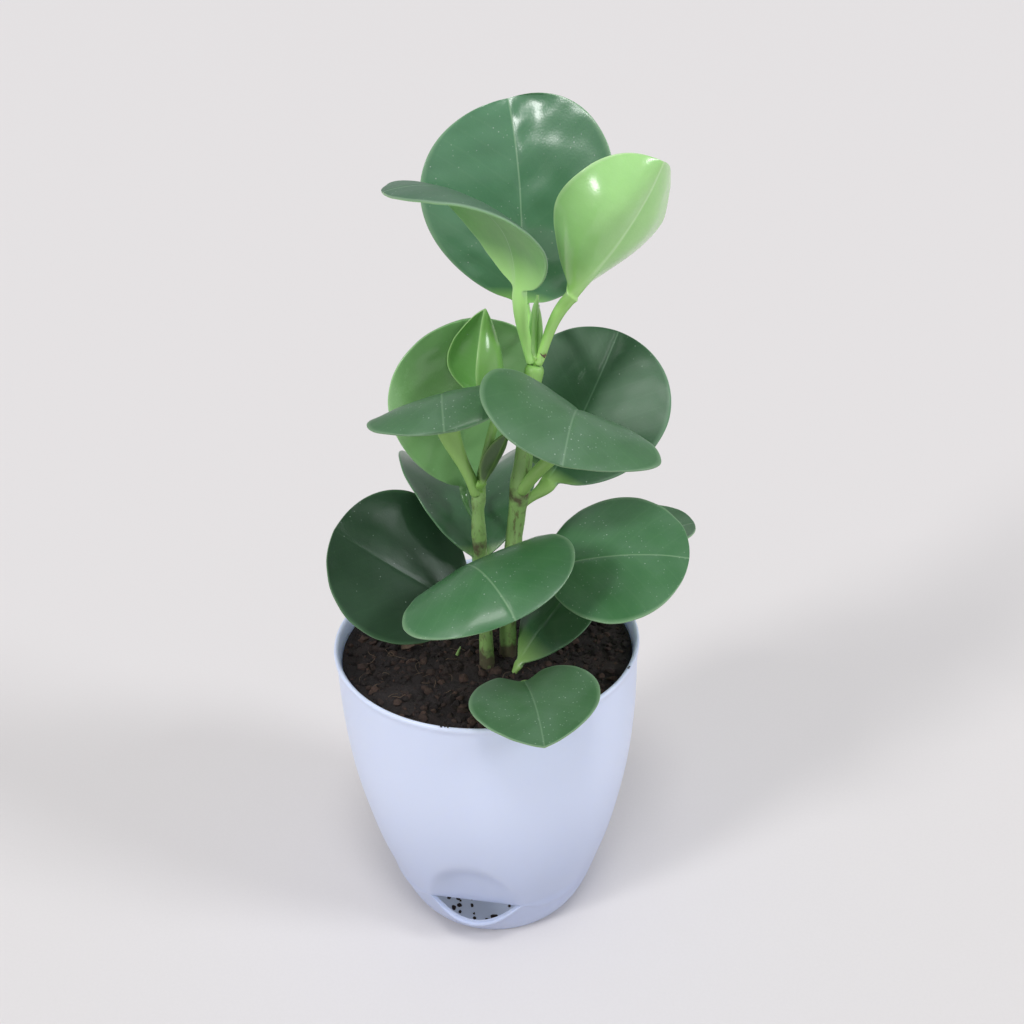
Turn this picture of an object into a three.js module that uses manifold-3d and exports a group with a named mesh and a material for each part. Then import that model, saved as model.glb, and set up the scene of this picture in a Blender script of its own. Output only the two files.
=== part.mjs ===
// A potted peperomia: a white self-watering pot with a fill mouth in its lower front, a false floor over
// the water space, dark potting mix, two stems and sixteen thick round leaves.
// Millimetres, +Z up. The origin is the middle of the pot's flat base; the fill mouth faces -Y.

import * as THREE from 'three';
import { mergeVertices } from 'three/addons/utils/BufferGeometryUtils.js';
import Module from 'manifold-3d';

const wasm = await Module();
wasm.setup();

// ---------------------------------------------------------------- driving dimensions

const POT_HEIGHT = 114;
const RIM_RADIUS = 55;
const WALL = 1.6;
const BEAD_HEIGHT = 1.8;
const BEAD_PROUD = 0.6;
const FLOOR_THICKNESS = 2.4;
const GAP = 0.3;

// Outer wall of the pot: [height, radius], steep at the foot and nearly upright at the rim.
const WALL_PROFILE = [
  [0, 31.2], [1, 33], [3.2, 34.8], [8, 37.2], [14, 39.3], [22, 41.9], [34, 45.6], [47, 48.6],
  [63, 51.6], [78, 53.3], [92, 54.1], [POT_HEIGHT - BEAD_HEIGHT - 0.4, RIM_RADIUS - BEAD_PROUD],
];

// Fill mouth: a dent leans inward down to a straight chord, and a scoop lip stands out below it.
const DENT_TOP_Z = 47;
const CHORD_Z = 20.5;
const CHORD_DEPTH = 37.7;
const MOUTH_HALF_ANGLE = 24;
const LIP_LOW_Z = 14;
const LIP_BULGE = 2.6;

const SOIL_TOP = 109.5;
const INSERT_TOP = 27;
const INSERT_THICKNESS = 1.6;
const FOOT_RADIUS = 14;

const LEAF_THICKNESS = 1.1;
const MARGIN_THICKNESS = 0.7;
const PETIOLE_RADIUS = 1.75;

// ---------------------------------------------------------------- colours

const plastic = new THREE.MeshStandardMaterial({ color: '#e6e9f0', roughness: 0.25 });
const greyPlastic = new THREE.MeshStandardMaterial({ color: '#8f9290', roughness: 0.5 });
const earth = new THREE.MeshStandardMaterial({ color: '#2b221e', roughness: 1.0 });
const stemGreen = new THREE.MeshStandardMaterial({ color: '#6f7f45', roughness: 0.6 });
const leafGreen = new THREE.MeshStandardMaterial({ color: '#3d5f45', roughness: 0.4 });
const youngGreen = new THREE.MeshStandardMaterial({ color: '#7fae58', roughness: 0.4 });

// ---------------------------------------------------------------- helpers

const radians = THREE.MathUtils.degToRad;

function smoothstep(x) {
  const t = Math.min(1, Math.max(0, x));
  return t * t * (3 - 2 * t);
}

// A value read from a list of [key, value] pairs, straight between them.
function along(pairs, key) {
  if (key <= pairs[0][0]) return pairs[0][1];
  for (let i = 1; i < pairs.length; i += 1) {
    const [k0, v0] = pairs[i - 1];
    const [k1, v1] = pairs[i];
    if (key <= k1) return v0 + (v1 - v0) * (key - k0) / (k1 - k0);
  }
  return pairs[pairs.length - 1][1];
}

// A closed skin over rings of equally many points, the first and the last ring capped by a fan.
function skin(rings) {
  const count = rings[0].length;
  const points = rings.flat();
  const index = [];
  for (let i = 0; i + 1 < rings.length; i += 1) {
    for (let j = 0; j < count; j += 1) {
      const a = i * count + j;
      const b = i * count + (j + 1) % count;
      index.push(a, b, b + count, a, b + count, a + count);
    }
  }
  for (const [ring, turn] of [[0, 1], [rings.length - 1, -1]]) {
    const centre = points.length;
    const middle = new THREE.Vector3();
    rings[ring].forEach((p) => middle.addScaledVector(p, 1 / count));
    points.push(middle);
    for (let j = 0; j < count; j += 1) {
      const a = ring * count + j;
      const b = ring * count + (j + 1) % count;
      if (turn > 0) index.push(centre, b, a);
      else index.push(centre, a, b);
    }
  }
  const geometry = new THREE.BufferGeometry();
  geometry.setAttribute('position', new THREE.Float32BufferAttribute(points.flatMap((p) => p.toArray()), 3));
  geometry.setIndex(index);
  return geometry;
}

function toSolid(geometry) {
  const bare = geometry.clone();
  bare.deleteAttribute('normal');
  bare.deleteAttribute('uv');
  const merged = mergeVertices(bare, 1e-4);
  return new wasm.Manifold(new wasm.Mesh({
    numProp: 3,
    vertProperties: new Float32Array(merged.attributes.position.array),
    triVerts: new Uint32Array(merged.index.array),
  }));
}

function toGeometry(solid) {
  const mesh = solid.getMesh();
  const geometry = new THREE.BufferGeometry();
  geometry.setAttribute('position', new THREE.BufferAttribute(new Float32Array(mesh.vertProperties), 3));
  geometry.setIndex(new THREE.BufferAttribute(new Uint32Array(mesh.triVerts), 1));
  return geometry;
}

const plant = new THREE.Group();

function addPiece(name, geometry, material) {
  geometry.computeVertexNormals();
  const mesh = new THREE.Mesh(geometry, material);
  mesh.name = name;
  plant.add(mesh);
  return mesh;
}

// ---------------------------------------------------------------- pot

const wallRadius = (z) => along(WALL_PROFILE, z);

// Depth from the axis of the dent's flat face: it leans inward from the wall down to the chord.
function dentDepth(z) {
  const top = wallRadius(DENT_TOP_Z);
  return CHORD_DEPTH + (top - CHORD_DEPTH) * (z - CHORD_Z) / (DENT_TOP_Z - CHORD_Z);
}

// Height of the scoop lip's edge at an angle from the mouth's middle: lowest in the middle, a smile.
function lipHeight(angle) {
  const t = angle / radians(MOUTH_HALF_ANGLE);
  return LIP_LOW_Z + (CHORD_Z - LIP_LOW_Z) * Math.min(1, t * t);
}

// Radius of the pot's outside, at an angle from the mouth's middle and a height.
function outside(angle, z) {
  const plain = wallRadius(z);
  const facing = Math.cos(angle);
  if (facing <= 0.5) return plain;
  const dent = Math.min(plain, dentDepth(z) / facing);
  if (z >= CHORD_Z) return dent;
  const reach = Math.min(1, Math.abs(angle) / radians(MOUTH_HALF_ANGLE));
  const rise = smoothstep(z / LIP_LOW_Z);
  const scoop = plain + LIP_BULGE * rise * Math.cos(reach * Math.PI / 2) ** 2;
  const lip = lipHeight(angle);
  if (z <= lip) return scoop;
  const edge = Math.min(wallRadius(CHORD_Z), dentDepth(CHORD_Z) / facing);
  return scoop + (edge - scoop) * (z - lip) / (CHORD_Z - lip);
}

const mouthAngles = [];
for (let degree = -32; degree <= 32; degree += 4) mouthAngles.push(degree);
const wallAngles = [...mouthAngles];
for (let degree = 42; degree < 325; degree += 12) wallAngles.push(degree);

// A ring of the wall at a height, set in by the wall thickness when it is the inside.
function wallRing(z, inset) {
  return wallAngles.map((degree) => {
    const angle = radians(degree);
    const radius = outside(angle, z) - inset;
    return new THREE.Vector3(radius * Math.sin(angle), -radius * Math.cos(angle), z);
  });
}

// The mouth's cut: everything between the lip's edge and the chord, through the wall.
function mouthCut() {
  const rings = [];
  const steps = 18;
  for (let i = 0; i <= steps; i += 1) {
    const angle = radians((MOUTH_HALF_ANGLE - 0.7) * (2 * i / steps - 1));
    const low = lipHeight(angle);
    const toward = new THREE.Vector3(Math.sin(angle), -Math.cos(angle), 0);
    rings.push([[50, low], [32, low], [32, CHORD_Z], [50, CHORD_Z]].map(([radius, z]) => (
      toward.clone().multiplyScalar(radius).setZ(z))));
  }
  return toSolid(skin(rings));
}

const potHeights = [0, 1, 3.2, 8, LIP_LOW_Z, 16, 18.2, CHORD_Z, 28, 38, DENT_TOP_Z, 63, 78, 92];
const seatHeight = POT_HEIGHT - BEAD_HEIGHT - 0.4;
const outerRings = [...potHeights, seatHeight].map((z) => wallRing(z, 0));
const beadRings = [
  [POT_HEIGHT - BEAD_HEIGHT, 0], [POT_HEIGHT - 0.5, 0], [POT_HEIGHT, -0.5],
].map(([z, inset]) => wallAngles.map((degree) => {
  const angle = radians(degree);
  const radius = RIM_RADIUS + inset;
  return new THREE.Vector3(radius * Math.sin(angle), -radius * Math.cos(angle), z);
}));
const innerHeights = [FLOOR_THICKNESS, ...potHeights.filter((z) => z > FLOOR_THICKNESS), seatHeight];
const innerRings = innerHeights.map((z) => wallRing(z, WALL));
innerRings.push(wallRing(POT_HEIGHT + 2, 1.2));
const potSolid = toSolid(skin([...outerRings, ...beadRings]))
  .subtract(toSolid(skin(innerRings)))
  .subtract(mouthCut());
addPiece('pot', toGeometry(potSolid), plastic);

// ---------------------------------------------------------------- false floor with its wick foot

// The inside of the pot from a height up, shrunk by a gap: what fills the pot is cut to it.
function potFilling(bottom, top) {
  const heights = [bottom, ...innerHeights.filter((z) => z > bottom + 0.5 && z < top - 0.5), top];
  return toSolid(skin(heights.map((z) => wallRing(z, WALL + GAP))));
}

function turned(profile) {
  return new THREE.LatheGeometry(profile.map(([r, z]) => new THREE.Vector2(r, z)), 32).rotateX(Math.PI / 2);
}

function boxAt(width, depth, height, x, y, z, turn = 0) {
  const box = new THREE.BoxGeometry(width, depth, height).translate(x, y, z);
  return toSolid(box.rotateZ(turn));
}

const insertBottom = INSERT_TOP - INSERT_THICKNESS;
const footLow = FLOOR_THICKNESS + GAP;
let insert = potFilling(insertBottom, INSERT_TOP);
insert = insert.subtract(toSolid(turned([[0, insertBottom - 1], [12, insertBottom - 1],
  [12, INSERT_TOP + 1], [0, INSERT_TOP + 1]])));
insert = insert.add(toSolid(turned([[12, footLow], [FOOT_RADIUS, footLow],
  [FOOT_RADIUS, insertBottom + 0.5], [12, insertBottom + 0.5], [12, footLow]])));
insert = insert.add(toSolid(turned([[0, footLow], [12.5, footLow], [12.5, footLow + 1.4], [0, footLow + 1.4]])));
for (let quarter = 0; quarter < 4; quarter += 1) {
  insert = insert.subtract(boxAt(4, 40, 9, 0, 20, footLow + 8, radians(45 + 90 * quarter)));
}
addPiece('reservoir_insert', toGeometry(insert), greyPlastic);

// ---------------------------------------------------------------- stems

// A round stem along a curve, thicker at its nodes; stations are [distance along 0..1, radius].
function stemRings(points, stations, sides = 12) {
  const curve = new THREE.CatmullRomCurve3(points.map((p) => new THREE.Vector3(...p)));
  return stations.map(([at, radius]) => {
    const centre = curve.getPoint(at);
    const tangent = curve.getTangent(at).normalize();
    const side = new THREE.Vector3(1, 0, 0).addScaledVector(tangent, -tangent.x).normalize();
    const other = tangent.clone().cross(side);
    return Array.from({ length: sides }, (_, k) => {
      const angle = 2 * Math.PI * k / sides;
      return centre.clone().addScaledVector(side, radius * Math.cos(angle))
        .addScaledVector(other, radius * Math.sin(angle));
    });
  });
}

const STEM_ROOT_Z = 84;
const mainLine = [[8.7, -6.3, STEM_ROOT_Z], [9, -6, 112], [10.5, -5.8, 141], [15.3, -4.8, 180], [20.6, -3.6, 220]];
const mainStations = [
  [0, 2.6], [0.2, 3.1], [0.38, 2.9], [0.48, 3.3], [0.53, 2.9], [0.68, 3.0], [0.74, 3.6], [0.79, 3.0],
  [0.94, 2.8], [0.98, 3.5], [1, 3.4],
];
const frontLine = [[2.8, -13.4, STEM_ROOT_Z], [2.9, -13.3, 112], [3, -13.2, 140], [2.6, -13.2, 176], [9.9, -10.8, 208]];
const frontStations = [
  [0, 2.2], [0.22, 2.7], [0.4, 2.2], [0.44, 2.6], [0.48, 2.1], [0.6, 2.1], [0.66, 2.5], [0.72, 2.0],
  [0.75, 2.4], [0.8, 1.7], [0.97, 1.4], [1, 1.6],
];
addPiece('stem_main', skin(stemRings(mainLine, mainStations)), stemGreen);
addPiece('stem_front', skin(stemRings(frontLine, frontStations, 10)), stemGreen);

// ---------------------------------------------------------------- soil, with a plain hole for each stem

let soil = potFilling(INSERT_TOP + GAP, SOIL_TOP);
for (const [x, y, radius] of [[8.85, -6.15, 3.5], [2.85, -13.35, 3.1]]) {
  const hole = new THREE.CylinderGeometry(radius, radius, 40, 16).rotateX(Math.PI / 2);
  soil = soil.subtract(toSolid(hole.translate(x, y, STEM_ROOT_Z - 0.5 + 20)));
}
addPiece('soil', toGeometry(soil), earth);

// ---------------------------------------------------------------- leaves

// A compass heading in the ground plane: 0 looks out of the fill mouth (-Y), 90 to the right (+X).
function heading(degrees) {
  return new THREE.Vector3(Math.sin(radians(degrees)), -Math.cos(radians(degrees)), 0);
}

const UP = new THREE.Vector3(0, 0, 1);

// The blade's own axes at a part of its length: forward, across and the upper face's normal.
function bladeAxes(leaf, t) {
  const flat = heading(leaf.heading + (leaf.sweep ?? 0) * t);
  const pitch = radians(leaf.pitch[0] + (leaf.pitch[1] - leaf.pitch[0]) * t);
  const roll = radians(leaf.roll);
  const level = UP.clone().cross(flat);
  const forward = flat.clone().multiplyScalar(Math.cos(pitch)).addScaledVector(UP, Math.sin(pitch));
  const lifted = flat.clone().multiplyScalar(-Math.sin(pitch)).addScaledVector(UP, Math.cos(pitch));
  const across = level.clone().multiplyScalar(Math.cos(roll)).addScaledVector(lifted, Math.sin(roll));
  const normal = level.clone().multiplyScalar(-Math.sin(roll)).addScaledVector(lifted, Math.cos(roll));
  return { forward, across, normal };
}

// Half width of a rounded blade, broadest past its middle; point > 0.5 draws the tip out.
function halfWidth(leaf, t) {
  const shoulder = leaf.shoulder ?? 0.7;
  const point = leaf.point ?? 0.5;
  const broadest = shoulder / (shoulder + point);
  const peak = broadest ** shoulder * (1 - broadest) ** point;
  return leaf.width / 2 * t ** shoulder * (1 - t) ** point / peak;
}

// One leaf is one solid: a round petiole from its node, widening into a thin blade with a midrib keel.
const ACROSS = [-1, -0.72, -0.32, 0, 0.32, 0.72, 1];
const BLADE_STEPS = 12;
const PETIOLE_STEPS = 4;

function leafRings(leaf) {
  const base = new THREE.Vector3(...leaf.base);
  const start = new THREE.Vector3(...leaf.start);
  const first = bladeAxes(leaf, 0);
  const rise = leaf.leave ? new THREE.Vector3(...leaf.leave).normalize() : base.clone().sub(start).normalize();
  const span = base.distanceTo(start);
  const petiole = new THREE.CubicBezierCurve3(start, start.clone().addScaledVector(rise, span * 0.35),
    base.clone().addScaledVector(first.forward, -span * (leaf.ease ?? 0.35)), base);
  const radius = leaf.petiole ?? PETIOLE_RADIUS;
  const rings = [];
  const across = first.across.clone();
  for (let i = PETIOLE_STEPS - 1; i >= 0; i -= 1) {
    const u = i / PETIOLE_STEPS;
    const centre = petiole.getPoint(u);
    const forward = petiole.getTangent(u).normalize();
    across.addScaledVector(forward, -forward.dot(across)).normalize();
    const normal = forward.clone().cross(across);
    const thick = radius * (leaf.slim ?? 1) * (0.9 + 0.1 * u);
    const wide = thick * (1 + 0.9 * smoothstep((u - 0.3) / 0.7));
    rings.unshift(ringAt(centre, across, normal, (side, s) => {
      const angle = s * Math.PI / 2 * 0.9;
      return [wide * Math.sin(angle), side * thick * Math.cos(angle)];
    }));
  }
  let centre = base.clone();
  let before = 0;
  for (let i = 0; i <= BLADE_STEPS; i += 1) {
    const t = 0.5 - 0.5 * Math.cos(Math.PI * i / BLADE_STEPS);
    for (let step = 1; step <= 8; step += 1) {
      const at = before + (t - before) * (step - 0.5) / 8;
      centre = centre.addScaledVector(bladeAxes(leaf, at).forward, leaf.length * (t - before) / 8);
    }
    before = t;
    const axes = bladeAxes(leaf, t);
    const half = Math.max(halfWidth(leaf, t), i === 0 ? 2.1 * radius : 1.2);
    const keel = radius * Math.max(0, 1 - t / 0.85);
    const crown = radius * Math.max(0, 1 - t / 0.12);
    const open = Math.min(1, t / 0.06);
    const cup = open * (leaf.cup ?? 0);
    const fold = open * radians((leaf.fold ?? 0) + (leaf.pinch ?? 0) * Math.max(0, 1 - t / 0.7) ** 1.5);
    const back = (leaf.lobe ?? 0) * Math.max(0, 1 - t / 0.4) ** 2 * smoothstep(t / 0.08);
    rings.push(ringAt(centre, axes.across, axes.normal, (side, s) => (
      [...bladePoint(cup, fold, half, keel, crown, side, s), back * s * s])));
  }
  return rings;
}

// A point of the blade's cross-section: cupped by an arc, folded by an angle, thin at the margin.
function bladePoint(cupped, fold, half, keel, crown, side, s) {
  const cup = Math.abs(cupped) < 0.01 ? 0.01 : cupped;
  const out = Math.abs(Math.sin(cup * s) / cup);
  const lift = (1 - Math.cos(cup * s)) / cup;
  const thin = (MARGIN_THICKNESS + (LEAF_THICKNESS - MARGIN_THICKNESS) * (1 - s * s)) / 2;
  const ridge = side < 0 ? keel : crown;
  const near = Math.abs(s) * half;
  const round = near < ridge ? Math.sqrt(ridge * ridge - near * near) : 0;
  const thick = side * Math.max(thin, round);
  const slope = s === 0 ? 0 : cup * Math.abs(s) + fold;
  const x = (out * Math.cos(fold) - lift * Math.sin(fold)) * half - thick * Math.sin(slope);
  const y = (out * Math.sin(fold) + lift * Math.cos(fold)) * half + thick * Math.cos(slope);
  return [Math.sign(s) * (Math.abs(s) < 0.5 ? Math.max(x, 0.12 * Math.abs(s) * half) : x), y];
}

// A closed ring of points; shape gives each one's place across, along the normal and back towards the stalk.
function ringAt(centre, across, normal, shape) {
  const forward = across.clone().cross(normal);
  const point = (side, s) => {
    const [x, y, back = 0] = shape(side, s);
    return centre.clone().addScaledVector(across, x).addScaledVector(normal, y).addScaledVector(forward, -back);
  };
  const under = ACROSS.map((s) => point(-1, s));
  const upper = [...ACROSS].reverse().map((s) => point(1, s));
  return [...under, ...upper];
}

// start is where the petiole leaves its node, base where the blade begins. Pitch is the blade's slope at
// its base and at its tip, roll turns it about its length, sweep bends it sideways. Pinch folds it more at
// the base, and lobe draws the two sides of its base back in millimetres, as on a heart-shaped leaf.
const LEAVES = {
  leaf_top_rear: {
    start: [20.9, -0.6, 220.6], leave: [0.1, 0.2, 1], base: [11.54, 22.33, 231.72], heading: 202,
    pitch: [111, 59], roll: -25, ease: 0.12, length: 66, width: 63, cup: 0.3, fold: 6, sweep: 9, shoulder: 0.68,
    slim: 0.85,
  },
  leaf_top_left: {
    start: [17.6, -3.6, 221], leave: [-0.2, 0, 1], base: [18.5, -14, 247.5], heading: -58, pitch: [94, -14],
    roll: 6, length: 59, width: 65, cup: -0.12, sweep: -3, shoulder: 0.63, slim: 1.08,
  },
  leaf_top_right: {
    start: [23.7, -4.6, 220.4], leave: [0.4, 0, 1], base: [33.05, -7.23, 244.02], heading: 90.54,
    pitch: [45.46, 64.93], roll: -69.77, length: 47.23, width: 44.5, cup: 0.15, fold: 23.05, pinch: 46.03,
    sweep: 31.26, shoulder: 0.36, point: 0.36, slim: 0.95, young: true,
  },
  leaf_front_young: {
    start: [9.3, -7.3, 204.4], leave: [0, 0.3, 1], base: [8.52, -5.54, 208.54], heading: 129, pitch: [80, 112],
    roll: 0, length: 31, width: 38, cup: 1.8, shoulder: 0.45, point: 0.7, lobe: 1, petiole: 1, young: true,
  },
  leaf_mid_left: {
    start: [0.4, -9.6, 164.5], leave: [-0.4, 1, 0], base: [-6.69, 5.3, 170.69], heading: 220.5,
    pitch: [92.87, 104.24], roll: 8.42, length: 64.01, width: 54.83, cup: 0.04, fold: 2.92, sweep: -17.04,
    shoulder: 0.76,
  },
  leaf_mid_left_low: {
    start: [7.2, -4, 141.5], leave: [-0.8, 0.5, 0.2], base: [0, -3, 147], heading: 200, pitch: [59, -45], roll: 2,
    length: 58, width: 55.5, cup: 0.55, fold: 9, shoulder: 0.77,
  },
  leaf_mid_right: {
    start: [17.6, -1.2, 170], leave: [0.75, 0.8, 0.7], base: [23.66, 2.29, 176.6], heading: 136,
    pitch: [53, 59], roll: 17, length: 54.5, width: 58, cup: -0.06, sweep: 5, shoulder: 0.62,
  },
  leaf_front_left: {
    start: [1, -16.9, 178], leave: [-0.1, -0.2, 1], base: [-5.02, -19.77, 207.8], heading: 11, pitch: [69, -36],
    roll: 12, ease: 0.4, length: 41, width: 47.5, cup: -0.2, sweep: 6, shoulder: 0.76, slim: 1.2,
  },
  leaf_centre: {
    start: [16.6, -10.6, 175], leave: [0.5, -0.3, 1], base: [37.6, -21.2, 210.4], heading: 3.34,
    pitch: [47.4, -41.15], roll: -25.21, length: 42, width: 56, fold: 1.67, pinch: 9.73, sweep: -5.59,
    shoulder: 1.01, point: 0.58, slim: 1.3,
  },
  leaf_front_low: {
    start: [-0.2, -14, 136], leave: [-1, 0, 0.4], base: [-4, -20, 149.5], heading: 31, pitch: [61, -45], roll: 14,
    length: 47.5, width: 61, cup: -0.05, fold: -4, sweep: 16, shoulder: 0.81,
  },
  leaf_low_right: {
    start: [14.2, -6.6, 140], leave: [1, -0.1, 0.3], base: [23, -8, 147.5], heading: 96, pitch: [22, -6],
    roll: 17, length: 49.5, width: 57, cup: -0.04, sweep: -5, shoulder: 0.55,
  },
  leaf_low_right_rear: {
    start: [11.4, -2.2, 136], leave: [0.3, 1, 0.1], base: [22, 15, 139.5], heading: 101, pitch: [16, 8], roll: -5,
    length: 52, width: 42, cup: 0.24, sweep: 5, shoulder: 0.68,
  },
  leaf_low_left: {
    start: [0.3, -11.9, 128], leave: [-1, 0.5, 0.2], base: [-4, -10, 131], heading: 283, pitch: [34, 41], roll: -32,
    length: 54.5, width: 58, cup: 0.14, fold: 3, shoulder: 0.64,
  },
  leaf_ground_right: {
    start: [13.2, -14, 110.1], leave: [0.4, 0.3, 1], base: [14.3, -13.2, 111.7], heading: 127.82,
    pitch: [55.27, 35.67], roll: 6.61, length: 41.43, width: 30.46, cup: -0.08, fold: -1.08, sweep: 3.67,
    shoulder: 0.88, petiole: 1.1,
  },
  leaf_ground_front: {
    start: [18.4, -25.8, 109.6], leave: [0, 0, 1], base: [19.02, -27.2, 113.97], heading: 22.51,
    pitch: [23.96, -11.22], roll: 4.16, ease: 0.5, length: 40.51, width: 43.5, cup: 0.2, fold: 5.19,
    pinch: 10.31, sweep: -5.7, shoulder: 0.68, point: 0.63, lobe: 8, petiole: 1.1,
  },
  leaf_inner_young: {
    start: [4.9, -16.5, 178.8], leave: [0.3, 0.1, 1], base: [5, -16.9, 184.2], heading: 108, pitch: [60, 66],
    roll: -55, length: 19, width: 9, cup: 0.5, fold: 8, shoulder: 0.8, point: 0.8, petiole: 1.1, young: true,
  },
};

for (const [name, leaf] of Object.entries(LEAVES)) {
  addPiece(name, skin(leafRings(leaf)), leaf.young ? youngGreen : leafGreen);
}

// The growing bud: a slim spike of rolled young leaves on the top node.
const budStations = [[0, 1.1], [0.2, 1.7], [0.5, 1.9], [0.8, 1.2], [1, 0.35]];
const budLine = [[20.6, -3.6, 220.4], [20.7, -3.5, 226], [21.4, -3.2, 234], [22, -3, 243]];
addPiece('bud_top', skin(stemRings(budLine, budStations, 8)), youngGreen);

export default plant;
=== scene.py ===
# A potted peperomia: a glossy white self-watering pot, dark potting mix, two stems and sixteen waxy leaves.
# +Z is up and the fill mouth faces -Y. Sizes are in millimetres until settle() turns a mesh to metres. The
# sections follow the plant as it is put together.
import math
import random

import bmesh
import bpy
from mathutils import Matrix, Vector, noise


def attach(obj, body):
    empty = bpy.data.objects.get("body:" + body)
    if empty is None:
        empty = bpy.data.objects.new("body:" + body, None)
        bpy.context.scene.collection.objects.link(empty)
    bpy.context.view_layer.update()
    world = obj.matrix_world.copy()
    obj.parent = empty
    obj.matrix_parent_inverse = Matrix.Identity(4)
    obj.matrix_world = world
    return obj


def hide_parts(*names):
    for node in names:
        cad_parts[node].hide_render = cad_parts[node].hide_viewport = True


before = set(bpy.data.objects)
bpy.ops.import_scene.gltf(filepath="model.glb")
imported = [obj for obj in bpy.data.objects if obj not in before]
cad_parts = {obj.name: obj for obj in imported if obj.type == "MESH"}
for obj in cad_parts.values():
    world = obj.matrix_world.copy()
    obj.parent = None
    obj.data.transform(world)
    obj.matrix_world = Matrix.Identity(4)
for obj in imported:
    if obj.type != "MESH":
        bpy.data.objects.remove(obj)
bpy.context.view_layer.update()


# ---------------------------------------------------------------- table, light and camera
# A pale matt paper sweep under soft daylight: an even sky, a window in front on the left, a weaker one on
# the right and a lamp above. The camera looks down at the pot by 28 degrees, as the photograph does.

MM = 0.001
TABLE_RADIUS, DAYLIGHT = 16000, 0.53


def paint(code):
    """A colour written as sRGB hex, as linear red, green, blue and alpha."""
    parts = [int(code[i:i + 2], 16) / 255 for i in (1, 3, 5)]
    return [c / 12.92 if c <= 0.04045 else ((c + 0.055) / 1.055) ** 2.4 for c in parts] + [1.0]


def node(tree, kind, inputs=None, **settings):
    """Adds a node with its settings. An input takes a value, a socket, or a node for its first output.

    A Mix node mixes colours here, and gives its colour.
    """
    made = tree.nodes.new("ShaderNode" + kind)
    if kind == "Mix":
        made.data_type = "RGBA"
    for key, value in settings.items():
        setattr(made, key, value)
    for key, value in (inputs or {}).items():
        if isinstance(value, bpy.types.Node):
            value = value.outputs[2 if value.bl_idname == "ShaderNodeMix" else 0]
        if isinstance(value, bpy.types.NodeSocket):
            tree.links.new(value, made.inputs[key])
        else:
            made.inputs[key].default_value = value
    return made


def new_finish(name):
    """An empty material, and the tree that its nodes go into."""
    finish = bpy.data.materials.new(name)
    finish.use_nodes = True
    finish.node_tree.nodes.clear()
    return finish, finish.node_tree


def settle(bm, name, finish, smooth=True):
    """Turns a bmesh in millimetres into an object at the origin with its finish."""
    bmesh.ops.scale(bm, vec=(MM, MM, MM), verts=bm.verts)
    mesh = bpy.data.meshes.new(name)
    for face in bm.faces:
        face.smooth = smooth
    bm.to_mesh(mesh)
    bm.free()
    mesh.materials.append(finish)
    piece = bpy.data.objects.new(name, mesh)
    bpy.context.scene.collection.objects.link(piece)
    return piece


# Matt paper gives back an even, unshiny pale tone. Its pulp is drawn at 1 mm, coarser than it is, so that it
# shows at all.
paper, tree = new_finish("matt_paper")
place = node(tree, "TexCoord").outputs["Object"]
pulp = node(tree, "TexNoise", {"Vector": place, "Scale": 900.0, "Detail": 4.0})
tone = node(tree, "Mix", {0: pulp, 6: paint("#dad6d5"), 7: paint("#dedad9")})
shader = node(tree, "BsdfPrincipled", {"Base Color": tone, "Roughness": 0.95, "Specular IOR Level": 0.1})
node(tree, "OutputMaterial", {"Surface": shader})
bm = bmesh.new()
bmesh.ops.create_circle(bm, cap_ends=True, segments=96, radius=TABLE_RADIUS)
table = settle(bm, "table", paper, smooth=False)

world = bpy.data.worlds.new("soft_daylight")
world.use_nodes = True
world.node_tree.nodes["Background"].inputs["Color"].default_value = paint("#f4f6fa")
world.node_tree.nodes["Background"].inputs["Strength"].default_value = DAYLIGHT
bpy.context.scene.world = world
bpy.context.scene.view_settings.view_transform = "Standard"


def window(name, heading, height, strength, spread, colour):
    """A soft light from a compass heading (0 is -Y, 90 is +X), with its height and its spread in degrees."""
    data = bpy.data.lights.new(name, "SUN")
    data.energy, data.angle, data.color = strength, math.radians(spread), paint(colour)[:3]
    lamp = bpy.data.objects.new(name, data)
    bpy.context.scene.collection.objects.link(lamp)
    h, e = math.radians(heading), math.radians(height)
    toward = Vector((math.sin(h) * math.cos(e), -math.cos(h) * math.cos(e), math.sin(e)))
    lamp.rotation_mode = "QUATERNION"
    lamp.rotation_quaternion = toward.to_track_quat("Z", "Y")
    lamp.location = toward * 2


window("window_left", -40, 32, 1.15, 13, "#ffffff")
window("window_right", 80, 34, 1.0, 15, "#f8fbff")
window("lamp_above", 18, 70, 0.85, 15, "#ffffff")

CAMERA_AT = (85.7, -352.0, 357.4)
LOOK_DOWN, CAMERA_ROLL, CAMERA_TURN = 28.14, 1.94, 12.0
LENS_MM, SENSOR_MM = 42.19, 36.0
down, tilt = math.radians(LOOK_DOWN), math.radians(CAMERA_ROLL)
ahead = Vector((0, math.cos(down), -math.sin(down)))
above = Vector((0, math.sin(down), math.cos(down)))
side = Vector((1, 0, 0)) * math.cos(tilt) - above * math.sin(tilt)
above = Vector((1, 0, 0)) * math.sin(tilt) + above * math.cos(tilt)
view = Matrix((side, above, -ahead)).transposed()
camera = bpy.data.objects.new("camera", bpy.data.cameras.new("camera"))
bpy.context.scene.collection.objects.link(camera)
camera.matrix_world = (Matrix.Translation(Vector(CAMERA_AT) * MM)
                       @ Matrix.Rotation(math.radians(CAMERA_TURN), 4, "Z") @ view.to_4x4())
camera.data.lens, camera.data.sensor_width = LENS_MM, SENSOR_MM
camera.data.clip_start, camera.data.clip_end = 0.02, 60
bpy.context.scene.camera = camera


# ---------------------------------------------------------------- pot
# The pot is one injection-moulded shell of glossy white polypropylene, turned up to a thin bead at the rim.
# Low in front its wall is pressed in to a straight edge, and a scoop lip stands out below: the fill mouth.

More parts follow.
